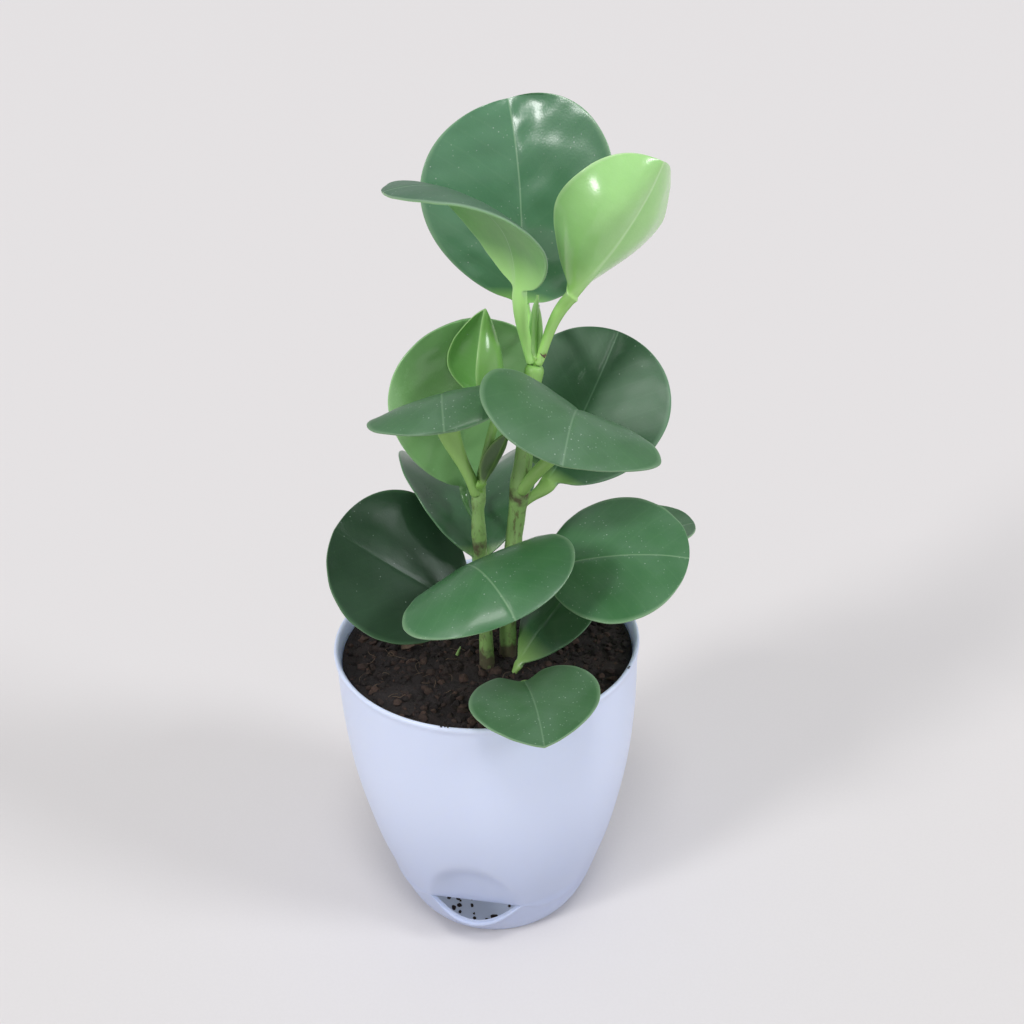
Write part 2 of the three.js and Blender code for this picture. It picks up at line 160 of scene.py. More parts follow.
POT_HEIGHT, RIM_RADIUS, WALL, FLOOR = 114.0, 55.0, 1.6, 2.4
# the wall's outer radius at each height
WALL_PROFILE = [(0, 31.2), (1, 33), (3.2, 34.8), (8, 37.2), (14, 39.3), (22, 41.9), (34, 45.6), (47, 48.6),
                (63, 51.6), (78, 53.3), (92, 54.1), (111.8, 54.4)]
# the straight edge over the mouth, its distance from the axis, and the hollow dent that runs up from it
CHORD_Z, CHORD_DEPTH, DENT_TOP, DENT_HOLLOW, DENT_SOFT = 20.5, 37.7, 49.0, 3.6, 0.14
# the lip under it: half its angle, its lowest and highest edge, how far it swells out, and its rolled edge
MOUTH_ANGLE, LIP_LOW, LIP_CORNER, LIP_FOOT = 24.0, 14.0, CHORD_Z - 0.35, 3
LIP_BULGE, LIP_ROLL, ROLL_SIZE = 2.6, 1.5, 0.9
# the wall is a plain round above PLAIN_FROM, and so is the base within FOOT_RADIUS
PLAIN_FROM, FOOT_RADIUS, EDGE_ROUND = 60, 31.9, 0.45
COLUMNS = 300


def between(pairs, key):
    """A value read from a list of (key, value) pairs along a smooth curve."""
    if key <= pairs[0][0]:
        return pairs[0][1]
    for i in range(1, len(pairs)):
        (k0, v0), (k1, v1) = pairs[i - 1], pairs[i]
        if key <= k1:
            before, after = pairs[max(0, i - 2)], pairs[min(len(pairs) - 1, i + 1)]
            m0 = (v1 - before[1]) / (k1 - before[0]) * (k1 - k0)
            m1 = (after[1] - v0) / (after[0] - k0) * (k1 - k0)
            u = (key - k0) / (k1 - k0)
            return ((2 * u**3 - 3 * u**2 + 1) * v0 + (u**3 - 2 * u**2 + u) * m0
                    + (3 * u**2 - 2 * u**3) * v1 + (u**3 - u**2) * m1)
    return pairs[-1][1]


def ease(x):
    """A soft step from 0 to 1."""
    x = min(1.0, max(0.0, x))
    return x * x * (3 - 2 * x)


def wall_radius(z):
    return between(WALL_PROFILE, z)


def dent_depth(z):
    """Distance of the pressed-in flat from the axis; it leans out from the edge to the dent's top."""
    return CHORD_DEPTH + (wall_radius(DENT_TOP) - CHORD_DEPTH) * (z - CHORD_Z) / (DENT_TOP - CHORD_Z)


def lip_height(degrees):
    """Height of the lip's edge round the mouth, a smile; beyond the corners it sinks back to its lowest."""
    turn = abs(degrees) / MOUTH_ANGLE
    if turn <= 1:
        return LIP_LOW + (LIP_CORNER - LIP_LOW) * turn**2
    return LIP_CORNER - (LIP_CORNER - LIP_LOW) * ease((turn - 1) * 1.6)


def mouth_shape(degrees, z):
    """How far the dent and the scoop lip move the wall in or out, at an angle from the mouth's middle."""
    plain = wall_radius(z)
    facing = math.cos(math.radians(degrees))
    if facing <= 0.5:
        return 0.0

    def dented(height):
        flat = dent_depth(height) / facing
        up = min(1.0, max(0.0, (height - CHORD_Z) / (DENT_TOP - CHORD_Z)))
        hollow = DENT_HOLLOW * math.sin(math.pi * up**1.5) ** 1.5
        sunk = DENT_SOFT * math.log(1 + math.exp(min(40, (wall_radius(height) - flat) / DENT_SOFT)))
        return -sunk - hollow * ease(sunk / 3)

    if z >= CHORD_Z:
        return dented(z)
    reach = min(1.0, abs(degrees) / (MOUTH_ANGLE * 1.12))
    lip = lip_height(degrees)
    scoop = LIP_BULGE * ease((z - LIP_FOOT) / (LIP_LOW - LIP_FOOT)) * math.cos(reach * math.pi / 2) ** 2
    if z <= lip + 1.1:
        scoop += LIP_ROLL * math.exp(-((lip - z - ROLL_SIZE) / ROLL_SIZE) ** 2) * ease(1.6 * (1 - reach))
    if z <= lip:
        return scoop
    edge = dented(CHORD_Z) + wall_radius(CHORD_Z)
    return scoop + (edge - plain - scoop) * (z - lip) / (CHORD_Z - lip)


def turned(bm, section, steps):
    """Spins a line of points round the axis into a shell."""
    for a, b in zip(section, section[1:]):
        bm.edges.new((a, b))
    bmesh.ops.spin(bm, geom=list(bm.verts) + list(bm.edges), cent=(0, 0, 0), axis=(0, 0, 1),
                   angle=2 * math.pi, steps=steps, use_merge=True)
    bmesh.ops.remove_doubles(bm, verts=bm.verts, dist=1e-4)


# heights of the wall's rings of faces, crowded where the mouth is; then the section that is turned
rows = [0.2, 0.8, 1.8, 3.2, 5, 6.5, 8, 9.5, 10.6, 11.5, 12.2, 12.8, 13.4]
rows += [LIP_LOW + (CHORD_Z - LIP_LOW) * k / 4 for k in range(5)]
rows += [22 + 1.3 * k for k in range(22)] + [51, 54, 58, 63, 68, 73, 78, 84, 90, 97, 104, 110]
outer = [(0.0, 1.0), (26.5, 1.0), (27.4, 0.1), (30.2, 0.0)] + [(wall_radius(z), z) for z in rows]
bead = [(54.4, 111.8), (54.5, 112.05), (54.95, 112.3), (RIM_RADIUS, 112.8), (RIM_RADIUS, 113.4),
        (54.8, 113.8), (54.4, POT_HEIGHT), (54.0, 113.9), (53.65, 113.6), (53.25, 113.0)]
inner = [(wall_radius(z) - WALL, z) for z in reversed(rows) if z > FLOOR + 0.5]
inner += [(32.0, FLOOR + 0.1), (30.6, FLOOR), (0.0, FLOOR)]

bm = bmesh.new()
where = bm.verts.layers.float.new("inside")
section = [bm.verts.new((0, -r, z)) for r, z in outer + bead + inner]
for vert in section[-len(inner):]:
    vert[where] = 1.0
turned(bm, section, COLUMNS)
# the rings are drawn to the lip's curved edge, and the wall goes in and out with the dent and the lip
for vert in bm.verts:
    radius = math.hypot(vert.co.x, vert.co.y)
    if radius < 1 or vert.co.z > PLAIN_FROM or (radius < FOOT_RADIUS and vert.co.z < 3):
        continue
    degrees = math.degrees(math.atan2(vert.co.x, -vert.co.y))
    z = vert.co.z
    if abs(degrees) < 45 and z < CHORD_Z + 1e-4:
        lip = lip_height(degrees)
        if z <= LIP_LOW:
            z = z * lip / LIP_LOW if z > LIP_FOOT else z
        else:
            z = lip + (z - LIP_LOW) * (CHORD_Z - lip) / (CHORD_Z - LIP_LOW)
    inset = WALL if vert[where] > 0.5 else 0.0
    reach = wall_radius(z) + mouth_shape(degrees, z) - inset
    vert.co = Vector((math.sin(math.radians(degrees)) * reach, -math.cos(math.radians(degrees)) * reach, z))
# the mouth is cut through both faces of the wall, then its edge is closed and rounded
hole = []
for face in bm.faces:
    middle = face.calc_center_median()
    degrees = math.degrees(math.atan2(middle.x, -middle.y))
    if (abs(degrees) < MOUTH_ANGLE - 0.1 and lip_height(degrees) < middle.z < CHORD_Z
            and math.hypot(middle.x, middle.y) > 30):
        hole.append(face)
bmesh.ops.delete(bm, geom=hole, context="FACES")
edges = [e for e in bm.edges if e.is_boundary]
bridged = bmesh.ops.bridge_loops(bm, edges=edges)
bmesh.ops.recalc_face_normals(bm, faces=bm.faces)
sharp = {e for f in bridged["faces"] for e in f.edges if e.calc_face_angle(0) > math.radians(40)}
bmesh.ops.bevel(bm, geom=list(sharp), offset=EDGE_ROUND, offset_type="OFFSET", segments=2, profile=0.5,
                affect="EDGES", material=-1, clamp_overlap=True)

# Moulded polypropylene: a clean, cool white that mirrors the windows softly. Towards the foot its colour is
# a painted shade deeper: painted shade for the low wall, which faces down and gets less light.
plastic, tree = new_finish("white_polypropylene")
place = node(tree, "TexCoord").outputs["Object"]
height = node(tree, "SeparateXYZ", {"Vector": place}).outputs["Z"]
# painted shade: the white darkens towards the foot
painted_low_shade = node(tree, "MapRange", {"Value": height, "From Min": 0.085, "From Max": 0.01},
             interpolation_type="SMOOTHSTEP")
white = node(tree, "Mix", {0: painted_low_shade, 6: paint("#d6e0ff"), 7: paint("#b0bad8")})
cloudy = node(tree, "TexNoise", {"Vector": place, "Scale": 14.0, "Detail": 2.0})
faint = node(tree, "MapRange", {"Value": cloudy, "To Max": 0.08})
tone = node(tree, "Mix", {0: faint, 6: white, 7: paint("#c6cfe8")})
# painted light: a faint emission glow on the inside of the foot, low down, stands in for daylight soaking
# through the thin wall
inside = node(tree, "Attribute", attribute_name="inside")
low = node(tree, "MapRange", {"Value": height, "From Min": 0.034, "From Max": 0.024, "To Max": 0.16})
lit = node(tree, "Math", {0: inside.outputs["Fac"], 1: low}, operation="MULTIPLY")
shader = node(tree, "BsdfPrincipled", {
    "Base Color": tone, "Roughness": 0.36, "IOR": 1.45, "Coat Weight": 0.1, "Coat Roughness": 0.2,
    "Emission Color": paint("#dfe8f2"), "Emission Strength": lit,
    "Subsurface Weight": 0.3, "Subsurface Radius": (0.004, 0.0045, 0.006), "Subsurface Scale": 1.0})
node(tree, "OutputMaterial", {"Surface": shader})

pot = settle(bm, "moulded_pot", plastic)
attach(pot, "root")
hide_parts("pot")


# ---------------------------------------------------------------- false floor with its wick foot
# A grey polypropylene plate that carries the mix above the water, with a slotted cup in its middle that
# stands on the pot's floor. It drops in from above, rests on the wall, and shows a little in the fill mouth.

# Moulded satin polypropylene, an even grey, filmed by hard water and specked with crumbs of mix up to 1.6 mm.
grey, tree = new_finish("satin_grey_polypropylene")
place = node(tree, "TexCoord").outputs["Object"]
film = node(tree, "TexNoise", {"Vector": place, "Scale": 120.0, "Detail": 5.0})
tone = node(tree, "Mix", {0: film, 6: paint("#b4bac2"), 7: paint("#c8ced6")})
fleck = node(tree, "TexVoronoi", {"Vector": place, "Scale": 340.0})
speck = node(tree, "MapRange", {"Value": fleck, "From Min": 0.28, "From Max": 0.2})
dirty = node(tree, "Mix", {0: speck, 6: tone, 7: paint("#2c2421")})
shader = node(tree, "BsdfPrincipled", {"Base Color": dirty, "Roughness": 0.45})
node(tree, "OutputMaterial", {"Surface": shader})
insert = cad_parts["reservoir_insert"]
insert.data.materials.clear()
insert.data.materials.append(grey)


# ---------------------------------------------------------------- potting mix
# Loose coco peat and compost, dark and damp, filled to a few millimetres under the rim. Its top is rough
# with lumps, reddish-brown husk crumbs and pale root fibres that lie as they fell.

SOIL_TOP, SOIL_BOTTOM, SOIL_GAP, SOIL_RING, SOIL_COLUMNS = 109.5, 27.3, 0.3, 0.9, 240
CRUMBS, WASHED_CRUMBS, CRUMB_REACH = 3600, 46, 52.3
STEM_FEET = [(8.85, -6.15), (2.85, -13.35)]


def soil_height(x, y):
    """The top of the mix: uneven by a few millimetres, drawn up a little round the stems."""
    p = Vector((x, y, 0))
    rise = 1.5 * noise.noise(p * 0.045 + Vector((3, 9, 0))) + 0.9 * noise.noise(p * 0.16 + Vector((7, 1, 4)))
    rise += 0.55 * noise.noise(p * 0.45) + 0.3 * noise.noise(p * 1.1)
    for fx, fy in STEM_FEET:
        rise += 0.9 * math.exp(-((x - fx) ** 2 + (y - fy) ** 2) / 45)
    return SOIL_TOP + rise


soil_rows = [z for z in rows if SOIL_BOTTOM + 1 < z < 108]
profile = [(0.0, SOIL_TOP)] + [(SOIL_RING * k, SOIL_TOP) for k in range(1, 58)]
profile += [(wall_radius(z) - WALL - SOIL_GAP, z) for z in [108.3] + soil_rows[::-1] + [SOIL_BOTTOM]]
profile += [(0.0, SOIL_BOTTOM)]
bm = bmesh.new()
turned(bm, [bm.verts.new((0, -r, z)) for r, z in profile], SOIL_COLUMNS)
bmesh.ops.recalc_face_normals(bm, faces=bm.faces)
for vert in bm.verts:
    x, y, z = vert.co
    if z > SOIL_TOP - 0.1:
        vert.co.z = soil_height(x, y)
    elif z < PLAIN_FROM:
        # the mix follows the dent in the wall
        degrees = math.degrees(math.atan2(x, -y))
        reach = math.hypot(x, y)
        if reach > 30:
            vert.co.x *= (reach + mouth_shape(degrees, z)) / reach
            vert.co.y *= (reach + mouth_shape(degrees, z)) / reach

# Damp coco peat drinks the light: dark brown-black, painted near black in the hollows of its bump as painted
# shade, and brown where a lump has dried. Its lumps are 2 to 3 mm, and the dried patches 15 to 20 mm.
mix, tree = new_finish("damp_coco_peat")
place = node(tree, "TexCoord").outputs["Object"]
lump = node(tree, "TexNoise", {"Vector": place, "Scale": 420.0, "Detail": 8.0, "Roughness": 0.75})
patch = node(tree, "TexNoise", {"Vector": place, "Scale": 60.0, "Detail": 3.0})
dark = node(tree, "Mix", {0: lump, 6: paint("#1e1c1c"), 7: paint("#474040")})
dry = node(tree, "MapRange", {"Value": patch, "From Min": 0.5, "From Max": 0.72, "To Max": 0.6})
tone = node(tree, "Mix", {0: dry, 6: dark, 7: paint("#4c403c")})
bump = node(tree, "Bump", {"Height": lump, "Strength": 1.0, "Distance": 0.0016})
shader = node(tree, "BsdfPrincipled", {"Base Color": tone, "Roughness": 0.95,
                                       "Normal": bump, "Specular IOR Level": 0.25})
node(tree, "OutputMaterial", {"Surface": shader})
soil = settle(bm, "potting_mix_bed", mix)
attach(soil, "root")
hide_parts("soil")

# Coco husk crumbs: dull and fibrous, each with a shade of its own, from black peat to reddish husk.
crumb_mix, tree = new_finish("coco_husk_crumbs")
place = node(tree, "TexCoord").outputs["Object"]
shade = node(tree, "Attribute", attribute_name="shade")
rub = node(tree, "TexNoise", {"Vector": place, "Scale": 900.0, "Detail": 4.0})
husk = node(tree, "Mix", {0: shade.outputs["Fac"], 6: paint("#262323"), 7: paint("#604a40")})
tone = node(tree, "Mix", {0: rub, 6: husk, 7: paint("#2a2423")})
bump = node(tree, "Bump", {"Height": rub, "Strength": 0.8, "Distance": 0.0004})
shader = node(tree, "BsdfPrincipled", {"Base Color": tone, "Roughness": 0.92,
                                       "Normal": bump, "Specular IOR Level": 0.3})
node(tree, "OutputMaterial", {"Surface": shader})

dice = random.Random(41)
bm = bmesh.new()
shade_of = bm.verts.layers.float.new("shade")


def drop_crumb(x, y, z, size, shade):
    """One crumb: a small ball of twenty faces, squashed, turned and pushed out of round."""
    turn = Matrix.Rotation(dice.uniform(0, 6.28), 4, "Z") @ Matrix.Rotation(dice.uniform(-0.6, 0.6), 4, "X")
    stretch = Matrix.Diagonal((dice.uniform(0.7, 1.3), dice.uniform(0.7, 1.1), 0.6, 1))
    ball = bmesh.ops.create_icosphere(bm, subdivisions=1, radius=size,
                                      matrix=Matrix.Translation((x, y, z)) @ turn @ stretch)
    for vert in ball["verts"]:
        vert.co += Vector([dice.uniform(-0.22, 0.22) * size for _ in range(3)])
        vert[shade_of] = shade + dice.uniform(-0.06, 0.06)


for _ in range(CRUMBS):
    reach, turn = CRUMB_REACH * math.sqrt(dice.random()), dice.uniform(0, 2 * math.pi)
    x, y = reach * math.sin(turn), -reach * math.cos(turn)
    size = 0.3 + 1.9 * dice.random() ** 4.2
    if math.hypot(x, y) + size < CRUMB_REACH:
        drop_crumb(x, y, soil_height(x, y) + 0.15 * size, size, dice.random() ** 2.3)
# a few crumbs caught on the rim, and some washed down on the pot's floor behind the mouth
for x, y in [(-3.4, -54.4), (-2.2, -54.3), (-1.1, -54.5), (52.8, -13.2), (53.0, -12.4)]:
    drop_crumb(x, y, POT_HEIGHT + 0.1, 0.4, 0.2)
for _ in range(WASHED_CRUMBS):
    reach, turn = dice.uniform(12, 32), math.radians(dice.uniform(-48, 48))
    drop_crumb(reach * math.sin(turn), -reach * math.cos(turn), FLOOR + 0.3, dice.uniform(0.4, 1.5), 0.5)
crumbs = settle(bm, "husk_crumbs", crumb_mix, smooth=False)
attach(crumbs, "root")


# ---------------------------------------------------------------- stems
# Two fleshy stems stand in the mix. They are jointed: each node is a little thicker, browned and corky
# where an old leaf fell, and the skin between is olive green flecked with brown.

# each stem's middle line; its radius at parts of its length; and its scars, as part, spread and strength
STEMS = {
    "stem_main": dict(
        line=[(8.7, -6.3, 84), (9, -6, 112), (10.5, -5.8, 141), (15.3, -4.8, 180), (20.6, -3.6, 220)],
        girth=[(0, 2.6), (.2, 3.1), (.38, 2.9), (.48, 3.3), (.53, 2.9), (.68, 3.0), (.74, 3.6), (.79, 3.0),
               (.94, 2.7), (.975, 3.1), (.99, 2.9), (1, 2.3)],
        scars=[(.25, .045, 1.5), (.49, .012, .8), (.585, .016, .7), (.715, .022, .9), (.985, .01, .3)]),
    "stem_front": dict(
        line=[(2.8, -13.4, 84), (2.9, -13.3, 112), (3, -13.2, 140), (2.6, -13.2, 176), (9.9, -10.8, 208)],
        girth=[(0, 2.2), (.22, 2.7), (.4, 2.2), (.44, 2.6), (.48, 2.1), (.6, 2.1), (.66, 2.5), (.72, 2.0),
               (.75, 2.4), (.8, 1.7), (.97, 1.4), (1, 1.2)],
        scars=[(.25, .05, 1.4), (.44, .016, .9), (.635, .022, 1.0), (.75, .01, .3)]),
}


def curve_point(line, at):
    """A point of the smooth curve through a list of points, at a part of its length."""
    spans = len(line) - 1
    i = min(spans - 1, int(at * spans))
    u = at * spans - i
    p = [Vector(line[max(0, min(spans, k))]) for k in (i - 1, i, i + 1, i + 2)]
    return 0.5 * (2 * p[1] + (p[2] - p[0]) * u + (2 * p[0] - 5 * p[1] + 4 * p[2] - p[3]) * u**2
                  + (3 * p[1] - p[0] - 3 * p[2] + p[3]) * u**3)


def tube(bm, place, around, steps, mark=None):
    """A closed tube: a grid whose columns go round and whose rows go along, each point put by place(i, j)."""
    grid = bmesh.ops.create_grid(bm, x_segments=around, y_segments=steps, size=1)["verts"]
    for vert in grid:
        i = round((vert.co.x + 1) / 2 * around) % around
        j = round((vert.co.y + 1) / 2 * steps)
        vert.co = place(i, j)
        if mark:
            mark(vert, i, j)
    bmesh.ops.remove_doubles(bm, verts=grid, dist=1e-5)
    edges = [e for e in bm.edges if e.is_boundary]
    bmesh.ops.holes_fill(bm, edges=edges, sides=0)


def stem_mesh(line, girth, scars, around=28, steps=150):
    """A stem round its middle line, a little out of round, with the brown of its scars as an attribute."""
    bm = bmesh.new()
    brown = bm.verts.layers.float.new("brown")

    def place(i, j):
        at = j / steps
        centre = curve_point(line, at)
        ahead = (curve_point(line, min(1, at + 0.01)) - curve_point(line, max(0, at - 0.01))).normalized()
        across = (Vector((1, 0, 0)) - ahead * ahead.x).normalized()
        other = ahead.cross(across)
        turn = 2 * math.pi * i / around
        out = across * math.cos(turn) + other * math.sin(turn)
        radius = between(girth, at)
        spot = centre + out * radius
        radius += 0.10 * noise.noise(spot * 0.5) + 0.05 * noise.noise(spot * 1.6)
        radius += 0.05 * math.sin(turn * 5 + at * 9)
        return centre + out * radius

    def mark(vert, i, j):
        vert[brown] = max(depth * math.exp(-((j / steps - part) / spread) ** 2)
                          for part, spread, depth in scars)

    tube(bm, place, around, steps, mark)
    bmesh.ops.recalc_face_normals(bm, faces=bm.faces)
    return bm


# Fleshy stem skin: olive green, flecked brown along its length, waxy but not shiny, corky at the nodes.
stem_skin, tree = new_finish("fleshy_stem_skin")
place = node(tree, "TexCoord").outputs["Object"]
long = node(tree, "Mapping", {"Vector": place, "Scale": (1.0, 1.0, 0.35)})
streak = node(tree, "TexNoise", {"Vector": long, "Scale": 700.0, "Detail": 5.0, "Roughness": 0.65})
broad = node(tree, "TexNoise", {"Vector": place, "Scale": 120.0, "Detail": 3.0})
green = node(tree, "Mix", {0: broad, 6: paint("#74985a"), 7: paint("#93ba6c")})
flecks = node(tree, "MapRange", {"Value": streak, "From Min": 0.54, "From Max": 0.66, "To Max": 0.7})
flecked = node(tree, "Mix", {0: flecks, 6: green, 7: paint("#5a4a36")})
# the growing tops, above 190 mm or so, are still clean and bright
high = node(tree, "SeparateXYZ", {"Vector": place}).outputs["Z"]
fresh = node(tree, "MapRange", {"Value": high, "From Min": 0.186, "From Max": 0.204})
topped = node(tree, "Mix", {0: fresh, 6: flecked, 7: paint("#8dbd66")})
# cork spreads from each scar with a ragged edge
worn = node(tree, "Attribute", attribute_name="brown")
cork = node(tree, "Mix", {0: streak, 6: paint("#2c2420"), 7: paint("#6b5a48")})
ragged = node(tree, "TexNoise", {"Vector": place, "Scale": 380.0, "Detail": 4.0})
edge = node(tree, "Math", {0: ragged, 1: 2.4, 2: worn.outputs["Fac"]}, operation="MULTIPLY_ADD")
spread = node(tree, "MapRange", {"Value": edge, "From Min": 1.6, "From Max": 2.3, "To Max": 0.9})
tone = node(tree, "Mix", {0: spread, 6: topped, 7: cork})
rough = node(tree, "MapRange", {"Value": spread, "To Min": 0.38, "To Max": 0.85})
bump = node(tree, "Bump", {"Height": streak, "Strength": 0.45, "Distance": 0.0004})
shader = node(tree, "BsdfPrincipled", {"Base Color": tone, "Roughness": rough,
                                       "Normal": bump, "Subsurface Weight": 0.08,
                                       "Subsurface Radius": (0.002, 0.003, 0.001)})
node(tree, "OutputMaterial", {"Surface": shader})

for name, shape in STEMS.items():
    stem = settle(stem_mesh(**shape), "fleshy_" + name, stem_skin)
    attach(stem, "root")
    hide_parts(name)


# ---------------------------------------------------------------- leaves
# Sixteen thick, waxy leaves on round stalks. The stalk flares into the blade; the midrib is a pale sunken
# line above and a keel below, and the margin is thin, pale and a little rolled.

LEAF_THICK, MARGIN_THICK, STALK_RADIUS = 1.1, 0.7, 1.75
MIDRIB_SUNK, MIDRIB_SPREAD, PUFF_SPACING, PUFF_HEIGHT = 0.3, 0.7, 8.0, 0.25
HEEL_REACH = 7.5
UP = Vector((0, 0, 1))


def toward(degrees):
    """A level direction: 0 looks out of the fill mouth, 90 to the right."""
    return Vector((math.sin(math.radians(degrees)), -math.cos(math.radians(degrees)), 0))


def blade_axes(leaf, t):
    """The blade's forward, across and upper-face directions at a part of its length."""
    flat = toward(leaf["heading"] + leaf.get("sweep", 0) * t)
    low, high = leaf["pitch"]
    pitch, roll = math.radians(low + (high - low) * t), math.radians(leaf["roll"])
    level = UP.cross(flat)
    forward = flat * math.cos(pitch) + UP * math.sin(pitch)
    lifted = UP * math.cos(pitch) - flat * math.sin(pitch)
    return (forward, level * math.cos(roll) + lifted * math.sin(roll),
            lifted * math.cos(roll) - level * math.sin(roll))


def half_width(leaf, t):
    """Half the blade's width: shoulder gives the roundness of its base, and point that of its tip."""
    shoulder, point = leaf.get("shoulder", 0.7), leaf.get("point", 0.5)
    widest = shoulder / (shoulder + point)
    return leaf["width"] / 2 * t**shoulder * (1 - t) ** point / (widest**shoulder * (1 - widest) ** point)


def heel(start):
    """Where a stalk begins: inside the nearest stem, so that the two grow together."""
    spots = [curve_point(shape["line"], k / 80) for shape in STEMS.values() for k in range(81)]
    core = min(spots, key=lambda spot: (spot - start).length)
    return start.lerp(core, 0.7) if (core - start).length < HEEL_REACH else start


def bezier(points, u):
    """A point of the stalk's middle line, from its four handles."""
    a, b, c, d = points
    return a * (1 - u)**3 + b * 3 * u * (1 - u)**2 + c * 3 * u**2 * (1 - u) + d * u**3


# Places across the blade, crowded at the midrib and at the rounded margin.
ACROSS = [0, .022, .05, .09, .15, .23, .32, .42, .52, .62, .72, .81, .89, .95]
EDGE = [0, .45, .8, 1]
STALK_STEPS, BLADE_STEPS = 14, 46


def leaf_mesh(leaf):
    """A leaf: rings along its stalk and its blade, closed at both ends. Its skin reads from attributes where
    the upper face, the stalk and the margin are, and from its map where a point is on the flattened blade."""
    bm = bmesh.new()
    for kind in ("upper", "stalk", "margin"):
        bm.verts.layers.float.new(kind)
    bm.verts.layers.float_vector.new("flat")
    upper, stalk, margin = [bm.verts.layers.float[kind] for kind in ("upper", "stalk", "margin")]
    flat_uv = bm.verts.layers.float_vector["flat"]
    base, start = Vector(leaf["base"]), heel(Vector(leaf["start"]))
    forward, across, _ = blade_axes(leaf, 0)
    rise = Vector(leaf["leave"]).normalized()
    span = (base - start).length
    handle = [start, start + rise * span * 0.35, base - forward * span * leaf.get("ease", 0.35), base]
    radius, slim = leaf.get("petiole", STALK_RADIUS), leaf.get("slim", 1.0)
    pucker = leaf["pucker"]
    flare = 0.9 * math.cos(math.radians(leaf.get("fold", 0) + leaf.get("pinch", 0)))
    seed = Vector(leaf["start"]) * 0.37
    # each ring: kind, centre, across, upper face, half its thickness or width, a stalk's half width, and part
    rings = []
    # The stalk, from the blade back to the node, so that it never twists.
    for k in range(STALK_STEPS - 1, -1, -1):
        u = k / STALK_STEPS
        centre = bezier(handle, u)
        ahead = (bezier(handle, u + 0.01) - bezier(handle, u - 0.01)).normalized()
        across = (across - ahead * ahead.dot(across)).normalized()
        thick = radius * slim * (0.9 + 0.1 * u)
        wide = thick * (1 + flare * ease((u - 0.3) / 0.7))
        rings.insert(0, ("stalk", centre, across.copy(), ahead.cross(across), thick, wide, u))
    # The blade, from its base to its tip.
    centre, before = base.copy(), 0.0
    for k in range(BLADE_STEPS + 1):
        t = 0.5 - 0.5 * math.cos(math.pi * k / BLADE_STEPS)
        for step in range(4):
            at = before + (t - before) * (step + 0.5) / 4
            centre = centre + blade_axes(leaf, at)[0] * leaf["length"] * (t - before) / 4
        before = t
        _, across, normal = blade_axes(leaf, t)
        neck = (1 + flare) * radius * slim
        half = max(neck + (half_width(leaf, t) - neck) * ease((t + 0.004) / 0.05), 0.35)
        rings.append(("blade", centre, across, normal, half, 0, t))

    count = 2 * len(ACROSS + EDGE) - 1
    around = 2 * count - 2

    def station(i, j):
        """Whether a column is on the lower face, its place across, -1 to 1, and where the margin starts."""
        edge = 1 - min(0.5, MARGIN_THICK / 2 / (rings[j][4] if rings[j][0] == "blade" else 10))
        side = [s * edge for s in ACROSS] + [edge + (1 - edge) * e for e in EDGE]
        spots = [-s for s in side[:0:-1]] + side
        return i < count, spots[i if i < count else around - i], edge

    def place(i, j):
        kind, centre, across, normal, half, wide, t = rings[j]
        below, s, edge = station(i, j)
        face = -1 if below else 1
        if kind == "stalk":
            turn = math.copysign(abs(s) ** 0.8, s) * math.pi / 2
            return centre + across * wide * math.sin(turn) + normal * face * half * math.cos(turn)
        # the blade opens from the round stalk, curls across and folds at the midrib, most near its base
        opened = min(1.0, t / 0.015)
        cup = opened * leaf.get("cup", 0)
        cup = cup if abs(cup) > 0.01 else 0.01
        pinch = leaf.get("pinch", 0) * max(0.0, 1 - t / 0.7) ** 1.5
        fold = opened * math.radians(leaf.get("fold", 0) + pinch)
        back = leaf.get("lobe", 0) * max(0.0, 1 - t / 0.4) ** 2 * ease(t / 0.08) * s * s
        thin = (MARGIN_THICK + (LEAF_THICK - MARGIN_THICK) * (1 - s * s)) / 2
        if abs(s) > edge:
            thin *= math.sqrt(max(0.0, 1 - ((abs(s) - edge) / (1 - edge)) ** 2))
        near = abs(s) * half
        root = radius * slim
        keel = root * max(0.0, 1 - t / 0.6) ** 1.6 if below else root * max(0.0, 1 - t / 0.12)
        rise = face * (thin + max(0.0, keel - thin) * math.exp(-(near / (1.5 * root)) ** 2))
        # the midrib is sunk into the upper face, and the flesh puffs up between the side veins
        if not below:
            rise -= MIDRIB_SUNK * ease(t / 0.12) * (1 - 0.6 * t) * math.exp(-(near / MIDRIB_SPREAD) ** 2)
        inside = ease((1 - abs(s)) * 5) * ease(t / 0.12)
        lateral = (t * leaf["length"] - 0.75 * near) / PUFF_SPACING
        rise += face * PUFF_HEIGHT * pucker * inside * math.cos(2 * math.pi * lateral) * min(1, near / 5)
        spot = Vector((s * half * 0.06, t * leaf["length"] * 0.06, 0)) + seed
        rise += leaf.get("wave", 0.5) * noise.noise(spot) * abs(s) * ease(t / 0.2)
        rise += 0.35 * noise.noise(spot * 3.1) * abs(s) ** 3 * ease(t / 0.2)
        rise += 2.2 * pucker * noise.noise(spot * 2.4) * inside
        dome = leaf.get("dome", 0) * (1.0 if s < 0 else 0.25)
        rise += dome * 5.38 * abs(s) * (1 - abs(s)) ** 1.5 * math.sin(math.pi * t)
        # across and up in the blade's own section, with the thickness along its slope
        slope = cup * abs(s) + fold if s else 0.0
        out, lift = abs(math.sin(cup * s) / cup), (1 - math.cos(cup * s)) / cup
        x = (out * math.cos(fold) - lift * math.sin(fold)) * half - rise * math.sin(slope)
        y = (out * math.sin(fold) + lift * math.cos(fold)) * half + rise * math.cos(slope)
        if abs(s) < 0.5:
            x = max(x, 0.12 * near)
        x = math.copysign(x, s) if s else 0.0
        return centre + across * x + normal * y - across.cross(normal) * back

